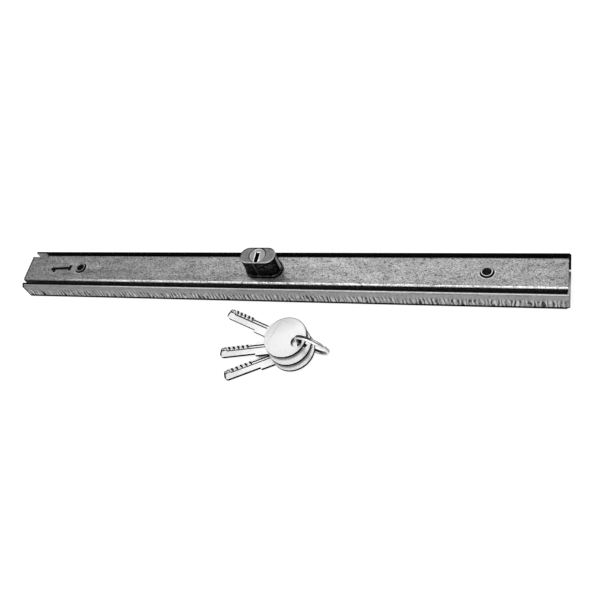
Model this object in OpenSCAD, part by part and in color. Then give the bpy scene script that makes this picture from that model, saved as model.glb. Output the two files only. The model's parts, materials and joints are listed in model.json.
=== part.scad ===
// Side-acting gate lock: a long galvanised channel with a sliding bolt,
// an oblong dimple-key cylinder in the middle, and three keys on a split ring.
// Origin at the centre of the channel's back face, X along the channel,
// Z out of the wall towards the keyhole. The bolt comes out at the -X end.

/* [Channel] */
// Nominal length of the lock, half of it each way from the plug
lock_l = 450; // [400:10:600]
// Width over the outside of the channel
channel_w = 34.2; // [32.8:0.2:38]
// Height of the channel
channel_h = 20.5; // [19.5:0.5:26]
// Thickness of the channel's steel sheet
sheet_t = 1.5; // [1.2:0.1:1.8]
// Outside radius of the channel's bends
channel_bend_r = 2; // [1.9:0.1:3]
// How far the channel runs out past the nominal length at the open end
open_end_l = 1.6; // [0:0.1:3]
// Length of the cut at the front flange's top corner at the open end
corner_cut_l = 3.2; // [1:0.1:6]
// Depth of the cut at the front flange's top corner at the open end
corner_cut_h = 4.8; // [3:0.1:10]
// How far the rear flange stops short of the open end
rear_flange_cut = 4; // [1:0.5:8]
// Gap between the two folded tabs that close the far end
tab_gap = 1; // [0.4:0.2:3]
// Distance of that gap from the centre line
tab_gap_y = 2.1; // [-4:0.1:4]

/* [Cover strip] */
// Width of the cover strip
strip_w = 26; // [25.4:0.2:28]
// Thickness of the cover strip
strip_t = 1.5; // [1.2:0.1:1.8]
// Outside radius of the cover strip's bends
strip_bend_r = 1.8; // [1.8:0.1:2.4]
// Height of the cover above the channel's flanges
strip_rise = 0.8; // [0.2:0.1:1.5]
// How far the cover stops short of the nominal length at the open end
cover_setback = 1.5; // [0:0.1:3]
// Length at the open end where the cover has no rear flange
flange_setback = 11.5; // [4:0.5:20]

/* [Fixing sleeves] */
// Distance of a fixing hole from the cover's end
fixing_inset = 55; // [45:1:75]
// Bore of a fixing sleeve
fixing_bore_d = 6.4; // [5.4:0.1:7]
// Outside diameter of a fixing sleeve
sleeve_d = 8.8; // [8.4:0.1:9.6]
// Diameter of the rolled rim on the cover
rim_d = 10.8; // [10:0.1:12]
// Height of the rolled rim
rim_h = 0.9; // [0.6:0.1:1.4]

/* [Cylinder] */
// Length of the oblong cylinder body
body_l = 29; // [27.6:0.2:34]
// Width of the oblong cylinder body
body_w = 14.7; // [14.5:0.1:17]
// Height of the cylinder above the cover
body_rise = 19.6; // [18.5:0.1:30]
// Overhang of the collar round the body
collar_lip = 0.9; // [0.4:0.1:1.8]
// Height of the collar
collar_h = 2.8; // [1.5:0.1:4]
// Diameter of the plug
plug_d = 13.6; // [13.4:0.1:14]
// Length of the keyway
keyway_l = 8.9; // [8.4:0.1:9.1]
// Width of the keyway
keyway_w = 2.6; // [2.2:0.1:2.8]
// Distance of the keyway's middle in front of the plug's axis
keyway_offset = 1.75; // [1.4:0.05:1.8]
// Diameter of the pins
pin_d = 2.4; // [1.8:0.1:2.6]
// Distance between pins along the key
pin_pitch = 3.8; // [3.4:0.1:3.8]
// Depth of the outermost pin below the keyhole face
first_pin_depth = 7; // [5:0.5:7]

/* [Bolt drive] */
// Width of the bolt
bolt_w = 18; // [17.4:0.2:18.4]
// Thickness of the bolt
bolt_t = 5.8; // [4:0.2:5.8]
// Tooth module of the pinion and rack
tooth_module = 1.25; // [1.1:0.05:1.3]
// Length of a bolt guide along the channel
guide_l = 12; // [8:1:16]
// Diameter of the stud that the pinion turns on
pivot_d = 4.4; // [3.6:0.2:5]

/* [Keys] */
// Diameter of a key's round head
head_d = 34; // [30:0.5:36]
// Length of a key's blade up to its shoulder
blade_l = 29.5; // [27:0.5:29.5]
// Length of the neck between shoulder and head
neck_l = 10; // [6:0.5:14]
// Width of the neck
neck_w = 11.4; // [10:0.2:14]
// Distance of the neck's middle from the blade's middle
neck_offset = 0.35; // [0:0.05:0.6]
// Diameter of the hole in a key's head
key_hole_d = 8.6; // [8.2:0.1:9]
// Width of the head beyond that hole
head_rim = 2.1; // [1.5:0.1:3]
// Diameter of the split ring, to the middle of its wire
ring_d = 26.4; // [25.6:0.2:27.4]
// Diameter of the split ring's wire
wire_d = 1.7; // [1.3:0.1:1.8]

/* [Hidden] */
$fn = 64;

steel = "gainsboro";
zinc = "silver";
dark_zinc = "dimgray";
nickel = "lightsteelblue";
brass_tone = "khaki";

// Small steps that keep solids apart or let tools run past a face
run_fit = 0.05;
slide_gap = 0.3;
over = 1;

// Channel and cover
half_l = lock_l / 2;
half_w = channel_w / 2;
strip_half_w = strip_w / 2;
cover_top = channel_h + strip_rise;
cover_z = cover_top - strip_t;
open_x = -half_l - open_end_l;
cover_x = cover_setback - half_l;
end_x = half_l + sheet_t;
fixing_x = half_l - fixing_inset;
sleeve_r = sleeve_d / 2;
fixing_r = fixing_bore_d / 2;
rim_r = rim_d / 2;
rim_round = 0.7 * rim_h;
sleeve_flare = 0.7;
bore_bevel = 0.4;
tab_relief = 0.3;

// Bolt drive: one full turn of the plug moves the bolt by the pinion's pitch circumference
teeth = 8;
flank_angle = 30;
pitch_r = tooth_module * teeth / 2;
base_r = pitch_r * cos(flank_angle);
pinion_addendum = 0.85 * tooth_module;
pinion_tip_r = pitch_r + pinion_addendum;
rack_addendum = 0.83 * tooth_module;
tooth_root_gap = 0.2 * tooth_module;
pinion_root_r = pitch_r - rack_addendum - tooth_root_gap;
backlash = 0.12;
tooth_pitch = PI * tooth_module;
throw = teeth * tooth_pitch;
bolt_z = sheet_t + slide_gap;
bolt_top = bolt_z + bolt_t;
bolt_nose_inset = 1;
bolt_nose_x = -half_l + bolt_nose_inset;
bolt_nose_cut = 3;
window_end_gap = 0.9;
window_side_gap = 0.55;
slot_gap = 0.4;
rack_teeth_before = 2;
rack_teeth_after = ceil((throw + pinion_tip_r) / tooth_pitch);
pinion_top = bolt_top + slide_gap;
pivot_r = pivot_d / 2;
pivot_shoulder_r = pivot_r + 1;
pivot_shoulder_z = sheet_t + 0.5;
pivot_cap_t = 1;
pinion_z = pivot_shoulder_z + run_fit;
pinion_bore_top = pinion_top - pivot_cap_t;

// Bolt guides
guide_t = 1.5;
guide_leg_gap = 0.4;
guide_inner_z = bolt_top + slide_gap;
guide_leg_y = bolt_w / 2 + guide_leg_gap;
guide_bend_r = guide_t + 0.4;
guide_front_gap = 1;
guide_front_x = cover_x + flange_setback + guide_front_gap;
tenon_inset = 3;
tenon_gap = 0.05;

// Cylinder
strap_t = 1.5;
strap_gap = 0.6;
strap_z = bolt_top + strap_gap;
body_z = strap_z + strap_t;
body_top = cover_top + body_rise;
collar_top = cover_top + collar_h;
spigot_step = 0.4;
hole_gap = 0.1;
edge_cut = 0.4;
plug_r = plug_d / 2;
plug_foot_gap = 0.1;
plug_z = strap_z + plug_foot_gap;
plug_sink = 0.15;
plug_top = body_top - plug_sink;
keyway_bevel = 0.45;
face_ring_r = 5.3;
face_ring_half = 0.45;
face_ring_depth = 0.22;
circlip_t = 0.9;
circlip_z = body_z - run_fit - circlip_t;
circlip_groove_r = plug_r - 0.9;
circlip_r = plug_r + 1;
circlip_gap = 3;
strap_hole_r = circlip_r + 0.4;
strap_end_gap = 5.5;
strap_half_l = body_l / 2 + strap_end_gap;
strap_foot_l = 8;
strap_half_w = strip_half_w - strip_t - 1;
screw_inset = 3;
screw_x = body_l / 2 - screw_inset;
screw_r = 1.5;
screw_head_r = 2.6;
screw_head_edge = 0.15;
screw_head_h = 1.1;
screw_end_gap = 0.3;
screw_wall = 1.1;
screw_slot_w = 0.7;
screw_slot_depth = 0.5;
drive_dog_h = 1.6;
drive_dog_w = 2.4;
drive_dog_in = 2;
drive_dog_out = 5.6;
strip_groove_w = 3.6;
strip_groove_depth = 1.2;
strip_groove_gap = 0.05;
chamber_end_x = body_l / 2 - strip_groove_depth;
chamber_strip_edge = 0.8;
chamber_strip_top = body_top - chamber_strip_edge;
chamber_strip_z = body_z + 2.3;
chamber_strip_sink = 0.15;
seam_x = -2.3;
seam_w = 0.35;
seam_h = 0.12;

// Rear guide behind the strap, and the bolt's tail still inside it when thrown
guide_rear_gap = 14;
guide_rear_x = strap_half_l + strap_foot_l + guide_rear_gap;
bolt_tail_spare = 4.5;
bolt_tail_x = guide_rear_x + guide_l + throw + bolt_tail_spare;

// Pins, springs and the dimples that they meet
pins = 5;
pin_y = 0.4;
pin_r = pin_d / 2;
chamber_r = pin_r + run_fit;
last_pin_z = body_top - first_pin_depth - (pins - 1) * pin_pitch;
screw_l = last_pin_z - chamber_r - screw_wall - screw_end_gap - strap_z;
pin_tip_cone = 0.8;
driver_l = 3;
spring_wire_r = 0.2;
spring_r = 0.85;
spring_turns = 3;
spring_steps = 8;
spring_sides = 4;
dimple_depths = [0.5, 0.8, 0.4, 0.7, 0.55];

// Keys: modelled with the ring hole at the origin and the blade along +X
key_clear = 0.1;
key_t = keyway_w - 2 * key_clear;
blade_w = keyway_l - 2 * key_clear;
head_r = head_d / 2;
key_hole_r = key_hole_d / 2;
head_x = head_r - head_rim - key_hole_r;
shoulder_x = head_x + head_r + neck_l;
key_reach = shoulder_x + blade_l;
tip_corner = 3;
key_edge = 0.35;
dimple_r = 1.2;
dimple_y = pin_y + keyway_offset;
tip_dimple_x = 3.6;
tip_dimple_r = 1;
tip_dimple_depth = 0.5;
groove_depth = 0.3;
groove_low_y = 0.3;
groove_w = 2.2;
groove_kink_l = 6.5;
groove_kink = 0.8;
hole_bevel = 0.25;

// The bunch lies on the surface in front of the lock, heads held up by the ring
bunch_lift = 4;
key_layer = key_t + 0.15;
bunch_x = 41.4;
bunch_y = -57.2;
key_2_shift_x = -1.8;
key_2_shift_y = 0.4;
key_1_shift_x = -6;
key_1_shift_y = -0.1;
key_holes = [[bunch_x, bunch_y], [bunch_x + key_2_shift_x, bunch_y + key_2_shift_y],
             [bunch_x + key_1_shift_x, bunch_y + key_1_shift_y]];
key_headings = [204, 188, 158];
fall_heading = key_headings[0];
fall_angle = asin(bunch_lift / key_reach);
ring_r = ring_d / 2;
wire_r = wire_d / 2;
coil_offset = wire_r * 0.94;
ring_heading = -17;
ring_lean_angle = 9;
ring_x = 49;
ring_y = -61.6;
ring_z = ring_r * cos(ring_lean_angle) + wire_r + coil_offset * sin(ring_lean_angle);
ring_slit_w = 0.3;
ring_slits = [40, 15];

function polar(r, a) = [r * cos(a), r * sin(a)];
function arc(c, r, a0, a1, n = 8) = [for (i = [0:n]) c + polar(r, a0 + (a1 - a0) * i / n)];

// Involute of the base circle, as an angle in degrees at radius r
function involute(r) = let (c = base_r / max(r, base_r)) (tan(acos(c)) - acos(c) * PI / 180) * 180 / PI;

// Steel angle in plan: one leg along X, one along Y, with a rounded outer corner at the origin
module bent_corner(r_out, t) {
    difference() {
        circle(r = r_out);
        circle(r = r_out - t);
        translate([-2 * r_out, 0])
            square([4 * r_out, 2 * r_out]);
        translate([-2 * r_out, -2 * r_out])
            square([2 * r_out, 4 * r_out]);
    }
}

// Upward-open U section in Y and Z, foot at z = 0
module u_section(w, h, t, bend) {
    translate([-w / 2 + bend, 0])
        square([w - 2 * bend, t]);
    for (s = [-1, 1])
        scale([s, 1]) {
            translate([w / 2 - t, bend])
                square([t, h - bend]);
            translate([w / 2 - bend, bend])
                bent_corner(bend, t);
        }
}

// Extrudes a section drawn in Y and Z along X, from x0 to x1
module along_x(x0, x1) {
    translate([x0, 0, 0])
        rotate([90, 0, 90])
            linear_extrude(x1 - x0)
                children();
}

// Oblong with full-round ends, chamfered at the top
module oblong(l, w, h, cut = 0) {
    r = w / 2;
    straight = l - w;
    for (s = [-1, 1])
        translate([s * straight / 2, 0, 0]) {
            cylinder(r = r, h = h - cut);
            if (cut > 0)
                translate([0, 0, h - cut])
                    cylinder(r1 = r, r2 = r - cut, h = cut);
        }
    along_x(-straight / 2, straight / 2)
        polygon([[-r, 0], [r, 0], [r, h - cut], [r - cut, h], [cut - r, h], [-r, h - cut]]);
}

// Tenons under a guide's two legs, from z0 to z1, or the slots that they fit
module tenons(x0, grow, z0, z1) {
    for (s = [-1, 1])
        translate([x0 + tenon_inset - grow, s * (guide_leg_y + guide_t / 2) - guide_t / 2 - grow, z0])
            cube([guide_l - 2 * tenon_inset + 2 * grow, guide_t + 2 * grow, z1 - z0]);
}

module housing_channel() {
    color(zinc)
        difference() {
            union() {
                along_x(open_x, end_x - channel_bend_r)
                    u_section(channel_w, channel_h, sheet_t, channel_bend_r);
                end_tabs();
            }
            for (s = [-1, 1])
                translate([s * fixing_x, 0, -over])
                    sleeve_outline(tenon_gap);
            translate([0, 0, -over])
                cylinder(r = pivot_r + tenon_gap, h = sheet_t + 2 * over);
            for (x0 = [guide_front_x, guide_rear_x])
                tenons(x0, tenon_gap, -over, sheet_t + over);
            corner_cut();
            translate([open_x - over, half_w - channel_bend_r, channel_bend_r])
                cube([rear_flange_cut + over, channel_bend_r + over, channel_h]);
        }
}

// Tabs folded from the flanges across the far end, with the web running out below them
module end_tabs() {
    bend_x = end_x - channel_bend_r;
    bend_y = half_w - channel_bend_r;
    tab_z = channel_bend_r + tab_relief;
    translate([bend_x - over, -bend_y, 0])
        cube([channel_bend_r + over, 2 * bend_y, sheet_t]);
    for (s = [-1, 1]) {
        tab_l = bend_y - s * tab_gap_y - tab_gap / 2;
        scale([1, s, 1]) {
            translate([half_l, bend_y - tab_l, tab_z])
                cube([sheet_t, tab_l, channel_h - tab_z]);
            translate([bend_x, bend_y, tab_z])
                linear_extrude(channel_h - tab_z)
                    rotate(90)
                        bent_corner(channel_bend_r, sheet_t);
        }
    }
}

// Slanting cut at the top corner of the front flange
module corner_cut() {
    rotate([90, 0, 0])
        linear_extrude(half_w + over)
            polygon([[open_x - over, channel_h + over],
                     [open_x - over, channel_h - corner_cut_h],
                     [open_x, channel_h - corner_cut_h],
                     [open_x + corner_cut_l, channel_h],
                     [open_x + corner_cut_l, channel_h + over]]);
}

module cover_strip() {
    color(steel)
        difference() {
            along_x(cover_x, half_l)
                translate([0, cover_top])
                    scale([1, -1])
                        u_section(strip_w, cover_top - sheet_t, strip_t, strip_bend_r);
            translate([cover_x - over, strip_half_w - strip_bend_r, -over])
                cube([flange_setback + over, strip_bend_r + over, cover_top + 2 * over]);
            for (s = [-1, 1])
                translate([s * fixing_x, 0, cover_z - over])
                    cylinder(r = sleeve_r + tenon_gap, h = strip_t + 2 * over);
            translate([0, 0, cover_z - over])
                oblong(body_l - 2 * spigot_step + 2 * hole_gap,
                       body_w - 2 * spigot_step + 2 * hole_gap, strip_t + 2 * over);
        }
}

// Outside of a sleeve with its flared foot, from one step below the back face
module sleeve_outline(grow) {
    r = sleeve_r + grow;
    foot_r = r + sleeve_flare;
    top = sheet_t + 2 * over;
    rotate_extrude()
        polygon([[0, 0], [foot_r, 0], [foot_r, over], [r, over + sheet_t], [r, top], [0, top]]);
}

module fixing_sleeve() {
    rim_top = cover_top + rim_h;
    color(nickel)
        rotate_extrude()
            polygon(concat(
                [[fixing_r + bore_bevel, 0], [sleeve_r + sleeve_flare, 0], [sleeve_r, sheet_t],
                 [sleeve_r, cover_top], [rim_r, cover_top]],
                arc([rim_r - rim_round, rim_top - rim_round], rim_round, 0, 90, 6),
                [[fixing_r + bore_bevel, rim_top], [fixing_r, rim_top - bore_bevel],
                 [fixing_r, bore_bevel]]));
}

module fixing_sleeve_left() {
    translate([-fixing_x, 0, 0])
        fixing_sleeve();
}

module fixing_sleeve_right() {
    translate([fixing_x, 0, 0])
        fixing_sleeve();
}

// One straight-sided rack tooth in X and Y, pointing towards -Y from its root line
module rack_tooth() {
    root_y = rack_addendum + tooth_root_gap;
    half_pitch_w = tooth_pitch / 4 - backlash / 2;
    root_w = half_pitch_w + root_y * tan(flank_angle);
    tip_w = half_pitch_w - rack_addendum * tan(flank_angle);
    polygon([[-root_w, root_y + over], [-root_w, root_y], [-tip_w, -rack_addendum],
             [tip_w, -rack_addendum], [root_w, root_y], [root_w, root_y + over]]);
}

module bolt_outline() {
    half = bolt_w / 2;
    difference() {
        polygon([[bolt_nose_x, half - bolt_nose_cut], [bolt_nose_x + bolt_nose_cut, half],
                 [bolt_tail_x, half], [bolt_tail_x, -half],
                 [bolt_nose_x + bolt_nose_cut, -half], [bolt_nose_x, bolt_nose_cut - half]]);
        rack_window();
        sleeve_slot();
    }
}

// Window round the pinion, with the rack left standing on its +Y side
module rack_window() {
    x0 = -pinion_tip_r - window_end_gap;
    x1 = throw + pinion_tip_r + window_end_gap;
    y0 = -pinion_tip_r - window_side_gap;
    root_y = pitch_r + rack_addendum + tooth_root_gap;
    difference() {
        translate([x0, y0])
            square([x1 - x0, root_y - y0]);
        for (k = [-rack_teeth_before:rack_teeth_after - 1])
            translate([(k + 0.5) * tooth_pitch, pitch_r])
                rack_tooth();
    }
}

// Slot that lets the bolt slide past the left fixing sleeve
module sleeve_slot() {
    r = sleeve_r + slot_gap;
    for (x = [0, throw])
        translate([-fixing_x + x, 0])
            circle(r = r);
    translate([-fixing_x, -r])
        square([throw, 2 * r]);
}

module bolt() {
    color(steel)
        translate([0, 0, bolt_z])
            linear_extrude(bolt_t)
                bolt_outline();
}

module bolt_guide(x0) {
    w = 2 * (guide_leg_y + guide_t);
    color(zinc) {
        along_x(x0, x0 + guide_l)
            translate([0, guide_inner_z + guide_t])
                scale([1, -1])
                    u_section(w, guide_inner_z + guide_t - sheet_t, guide_t, guide_bend_r);
        tenons(x0, 0, 0, sheet_t);
    }
}

module bolt_guide_front() {
    bolt_guide(guide_front_x);
}

module bolt_guide_rear() {
    bolt_guide(guide_rear_x);
}

// Tooth outline between two radii, one flank after the other
module pinion_outline() {
    half_tooth = 90 / teeth;
    steps = 5;
    function flank_half(r) = half_tooth + involute(pitch_r) - involute(r);
    polygon([for (k = [0:teeth - 1])
             let (mid = 90 + 360 * k / teeth)
             each concat(
                 [polar(pinion_root_r, mid - flank_half(base_r))],
                 [for (i = [0:steps])
                  let (r = base_r + (pinion_tip_r - base_r) * i / steps)
                  polar(r, mid - flank_half(r))],
                 [for (i = [steps:-1:0])
                  let (r = base_r + (pinion_tip_r - base_r) * i / steps)
                  polar(r, mid + flank_half(r))],
                 [polar(pinion_root_r, mid + flank_half(base_r))])]);
}

module pinion() {
    color(brass_tone)
        difference() {
            union() {
                translate([0, 0, pinion_z])
                    linear_extrude(pinion_top - pinion_z)
                        pinion_outline();
                translate([0, 0, pinion_top])
                    cylinder(r = drive_dog_out, h = plug_z - pinion_top);
                drive_dogs(0, plug_z);
            }
            translate([0, 0, pinion_z - over])
                cylinder(r = pivot_r + run_fit, h = pinion_bore_top - pinion_z + over);
        }
}

// Stud riveted flush into the back of the channel, with a shoulder under the pinion
module pinion_pivot() {
    color(nickel) {
        cylinder(r = pivot_r, h = pinion_bore_top - run_fit);
        translate([0, 0, sheet_t])
            cylinder(r = pivot_shoulder_r, h = pivot_shoulder_z - sheet_t);
    }
}

// Two dogs on the pinion's hub that enter slots in the foot of the plug
module drive_dogs(grow, z) {
    for (s = [-1, 1])
        scale([s, 1, 1])
            translate([drive_dog_in - grow, -drive_dog_w / 2 - grow, z])
                cube([drive_dog_out - drive_dog_in + (grow > 0 ? over : 0), drive_dog_w + 2 * grow,
                      drive_dog_h + grow]);
}

// Cylinder body without its bores: full size above the collar, stepped in below it
module body_blank(shrink, top) {
    translate([0, 0, body_z])
        oblong(body_l - 2 * (spigot_step + shrink), body_w - 2 * (spigot_step + shrink),
               collar_top - body_z + over);
    translate([0, 0, collar_top])
        oblong(body_l - 2 * shrink, body_w - 2 * shrink, top - collar_top, edge_cut);
}

module pin_row(side) {
    for (i = [0:pins - 1])
        translate([0, pin_y, body_top - first_pin_depth - i * pin_pitch])
            rotate([0, side * 90, 0])
                children();
}

module strip_groove(side, gap) {
    scale([side, 1, 1])
        translate([chamber_end_x, -strip_groove_w / 2 + gap, chamber_strip_z])
            cube([2 * strip_groove_depth, strip_groove_w - 2 * gap, chamber_strip_top - chamber_strip_z]);
}

module cylinder_body() {
    color(dark_zinc)
        difference() {
            union() {
                body_blank(0, body_top);
                translate([seam_x - seam_w / 2, -body_w / 2 - seam_h, collar_top])
                    cube([seam_w, seam_h + over, body_top - edge_cut - collar_top]);
            }
            translate([0, 0, body_z - over])
                cylinder(r = plug_r + run_fit, h = body_top);
            for (side = [-1, 1]) {
                strip_groove(side, 0);
                pin_row(side)
                    cylinder(r = chamber_r, h = chamber_end_x + over);
                translate([side * screw_x, 0, strap_z])
                    cylinder(r = screw_r + tenon_gap, h = screw_l + screw_end_gap);
            }
        }
}

module cylinder_collar() {
    color(dark_zinc)
        translate([0, 0, cover_top])
            difference() {
                oblong(body_l + 2 * collar_lip, body_w + 2 * collar_lip, collar_h, edge_cut);
                translate([0, 0, -over])
                    oblong(body_l - 2 * spigot_step + 2 * run_fit, body_w - 2 * spigot_step + 2 * run_fit,
                           collar_h + 2 * over);
            }
}

// Hat-shaped strap under the cover that pulls the body down on to its collar
module cylinder_strap() {
    color(zinc)
        difference() {
            union() {
                translate([-strap_half_l - strap_t, -strap_half_w, strap_z])
                    cube([2 * (strap_half_l + strap_t), 2 * strap_half_w, strap_t]);
                for (s = [-1, 1])
                    scale([s, 1, 1]) {
                        translate([strap_half_l, -strap_half_w, strap_z])
                            cube([strap_t, 2 * strap_half_w, cover_z - strap_z]);
                        translate([strap_half_l, -strap_half_w, cover_z - strap_t])
                            cube([strap_foot_l, 2 * strap_half_w, strap_t]);
                    }
            }
            translate([0, 0, strap_z - over])
                cylinder(r = strap_hole_r, h = strap_t + 2 * over);
            for (s = [-1, 1])
                translate([s * screw_x, 0, strap_z])
                    screw_outline(tenon_gap, -over, strap_t + over);
        }
}

// Countersunk screw with its head down, from z0 to z1
module screw_outline(grow, z0, z1) {
    rotate_extrude()
        polygon([[0, z0], [screw_head_r + grow, z0], [screw_head_r + grow, screw_head_edge],
                 [screw_r + grow, screw_head_h + grow], [screw_r + grow, z1], [0, z1]]);
}

module strap_screws() {
    color(nickel)
        for (s = [-1, 1])
            translate([s * screw_x, 0, strap_z])
                difference() {
                    screw_outline(0, 0, screw_l);
                    translate([-screw_head_r - over, -screw_slot_w / 2, -over])
                        cube([2 * (screw_head_r + over), screw_slot_w, over + screw_slot_depth]);
                }
}

module chamber_strip(side) {
    color(nickel)
        intersection() {
            body_blank(chamber_strip_sink, body_top);
            strip_groove(side, strip_groove_gap);
        }
}

module chamber_strip_right() {
    chamber_strip(1);
}

module chamber_strip_left() {
    chamber_strip(-1);
}

module driver_pins(side) {
    shear_x = sqrt(pow(plug_r + run_fit, 2) - pow(pin_y, 2));
    color(steel)
        difference() {
            pin_row(side)
                translate([0, 0, plug_r - over])
                    cylinder(r = pin_r, h = shear_x - plug_r + over + driver_l);
            cylinder(r = plug_r + run_fit, h = body_top);
        }
}

module driver_pins_right() {
    driver_pins(1);
}

module driver_pins_left() {
    driver_pins(-1);
}

// Helical spring as one swept wire along +Z
module spring(length) {
    rings = spring_turns * spring_steps;
    rise = (length - 2 * spring_wire_r) / rings;
    points = [for (i = [0:rings], j = [0:spring_sides - 1])
              let (a = 360 * i / spring_steps, b = 360 * j / spring_sides)
              concat(polar(spring_r + spring_wire_r * cos(b), a),
                     [spring_wire_r + rise * i + spring_wire_r * sin(b)])];
    sides = [for (i = [0:rings - 1], j = [0:spring_sides - 1])
             let (k = (j + 1) % spring_sides)
             each [[i * spring_sides + j, (i + 1) * spring_sides + j, (i + 1) * spring_sides + k],
                   [i * spring_sides + j, (i + 1) * spring_sides + k, i * spring_sides + k]]];
    start = [[for (j = [0:spring_sides - 1]) j]];
    end = [[for (j = [spring_sides - 1:-1:0]) rings * spring_sides + j]];
    polyhedron(points, concat(sides, start, end), convexity = 8);
}

module pin_springs(side) {
    spring_x = plug_r + driver_l + 2 * run_fit;
    color(nickel)
        pin_row(side)
            translate([0, 0, spring_x])
                spring(chamber_end_x - spring_x - run_fit);
}

module pin_springs_right() {
    pin_springs(1);
}

module pin_springs_left() {
    pin_springs(-1);
}

module plug() {
    color(steel)
        difference() {
            union() {
                translate([0, 0, plug_z])
                    cylinder(r = plug_r, h = plug_top - edge_cut - plug_z);
                translate([0, 0, plug_top - edge_cut])
                    cylinder(r1 = plug_r, r2 = plug_r - edge_cut, h = edge_cut);
            }
            translate([-keyway_w / 2, -keyway_offset - keyway_l / 2, plug_z - over])
                cube([keyway_w, keyway_l, plug_top - plug_z + 2 * over]);
            keyway_mouth();
            translate([0, 0, plug_top])
                rotate_extrude()
                    polygon([[face_ring_r - 2 * face_ring_half, face_ring_depth],
                             [face_ring_r, -face_ring_depth],
                             [face_ring_r + 2 * face_ring_half, face_ring_depth]]);
            difference() {
                translate([0, 0, circlip_z - run_fit])
                    cylinder(r = plug_r + over, h = circlip_t + 2 * run_fit);
                cylinder(r = circlip_groove_r, h = body_top);
            }
            drive_dogs(run_fit, plug_z - run_fit);
            for (side = [-1, 1])
                pin_row(side)
                    cylinder(r = chamber_r, h = plug_r + over);
        }
}

// Bevel all round the keyway where it meets the plug's face
module keyway_mouth() {
    x = keyway_w / 2;
    y = keyway_l / 2;
    b = keyway_bevel;
    points = [[-x, -y, -b], [x, -y, -b], [x, y, -b], [-x, y, -b],
              [-x - 2 * b, -y - 2 * b, b], [x + 2 * b, -y - 2 * b, b],
              [x + 2 * b, y + 2 * b, b], [-x - 2 * b, y + 2 * b, b]];
    translate([0, -keyway_offset, plug_top])
        polyhedron(points, [[0, 1, 2, 3], [7, 6, 5, 4], [4, 5, 1, 0],
                            [5, 6, 2, 1], [6, 7, 3, 2], [7, 4, 0, 3]]);
}

module plug_circlip() {
    color(dark_zinc)
        translate([0, 0, circlip_z])
            difference() {
                cylinder(r = circlip_r, h = circlip_t);
                translate([0, 0, -over])
                    cylinder(r = circlip_groove_r + run_fit, h = circlip_t + 2 * over);
                translate([-circlip_gap / 2, 0, -over])
                    cube([circlip_gap, 2 * circlip_r, circlip_t + 2 * over]);
            }
}

module key_pins(side) {
    color(brass_tone)
        intersection() {
            for (i = [0:pins - 1])
                let (tip_x = key_t / 2 - dimple_depths[i])
                translate([0, pin_y, body_top - first_pin_depth - i * pin_pitch])
                    rotate([0, side * 90, 0])
                        translate([0, 0, tip_x])
                            rotate_extrude()
                                polygon([[0, 0], [pin_r - pin_tip_cone, 0], [pin_r, pin_tip_cone],
                                         [pin_r, plug_r], [0, plug_r]]);
            cylinder(r = plug_r - run_fit, h = body_top);
        }
}

module key_pins_right() {
    key_pins(1);
}

module key_pins_left() {
    key_pins(-1);
}

// Blade in plan, rounded off at the tip
module blade_outline() {
    half = blade_w / 2;
    r = tip_corner;
    translate([shoulder_x - over, -half])
        square([blade_l - r + over, blade_w]);
    translate([shoulder_x, -half + r])
        square([blade_l, blade_w - 2 * r]);
    for (s = [-1, 1])
        translate([key_reach - r, s * (half - r)])
            circle(r = r);
}

module key_plan() {
    translate([head_x, 0])
        circle(r = head_r - key_edge, $fn = 96);
    translate([head_x, neck_offset - neck_w / 2])
        square([shoulder_x - head_x, neck_w]);
    blade_outline();
}

// Round-edged disc of the head
module key_head() {
    translate([head_x, 0, 0])
        rotate_extrude($fn = 96)
            polygon(concat([[0, 0]], arc([head_r - key_edge, key_edge], key_edge, -90, 0, 3),
                           arc([head_r - key_edge, key_t - key_edge], key_edge, 0, 90, 3), [[0, key_t]]));
}

// Dimples milled out to the blade's edge, on both faces along the same edge
module blade_cuts() {
    for (i = [0:pins - 1]) {
        x = shoulder_x + first_pin_depth + i * pin_pitch;
        for (z = [key_t - dimple_depths[i], dimple_depths[i] - key_t]) {
            translate([x, -dimple_y, z])
                cylinder(r = dimple_r, h = key_t);
            translate([x - dimple_r, -dimple_y - blade_w, z])
                cube([2 * dimple_r, blade_w, key_t]);
        }
    }
    translate([key_reach - tip_dimple_x, -dimple_y, key_t - tip_dimple_depth])
        cylinder(r = tip_dimple_r, h = key_t);
}

// Long groove in the upper face, stepping aside near the tip and running out at its middle
module blade_groove() {
    x0 = head_x + head_r - over;
    x1 = key_reach - groove_kink_l;
    low = -groove_low_y;
    high = -groove_low_y - groove_w;
    translate([0, 0, key_t - groove_depth])
        linear_extrude(key_t)
            polygon([[x0, low], [x1, low], [x1 + groove_kink, low - groove_kink], [key_reach + over, 0],
                     [key_reach + over, high - groove_kink], [x1 + groove_kink, high - groove_kink],
                     [x1, high], [x0, high]]);
}

module key() {
    color("whitesmoke")
        difference() {
            union() {
                linear_extrude(key_t)
                    key_plan();
                key_head();
            }
            translate([0, 0, -over])
                cylinder(r = key_hole_r, h = key_t + 2 * over);
            for (s = [-1, 1])
                translate([0, 0, key_t / 2])
                    scale([1, 1, s])
                        translate([0, 0, key_t / 2 - hole_bevel])
                            cylinder(r1 = key_hole_r, r2 = key_hole_r + 2 * hole_bevel, h = 2 * hole_bevel);
            blade_cuts();
            blade_groove();
        }
}

// Places the key of one layer, counted from the bottom of the bunch
module key_in_layer(layer) {
    offset_xy = key_holes[layer] - key_holes[0];
    along = offset_xy * polar(1, fall_heading);
    across = offset_xy * polar(1, fall_heading + 90);
    translate([key_holes[0][0], key_holes[0][1], bunch_lift])
        rotate([0, fall_angle, fall_heading])
            translate([along, across, layer * key_layer])
                rotate(key_headings[layer] - fall_heading)
                    key();
}

module key_1() {
    key_in_layer(2);
}

module key_2() {
    key_in_layer(1);
}

module key_3() {
    key_in_layer(0);
}

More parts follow.
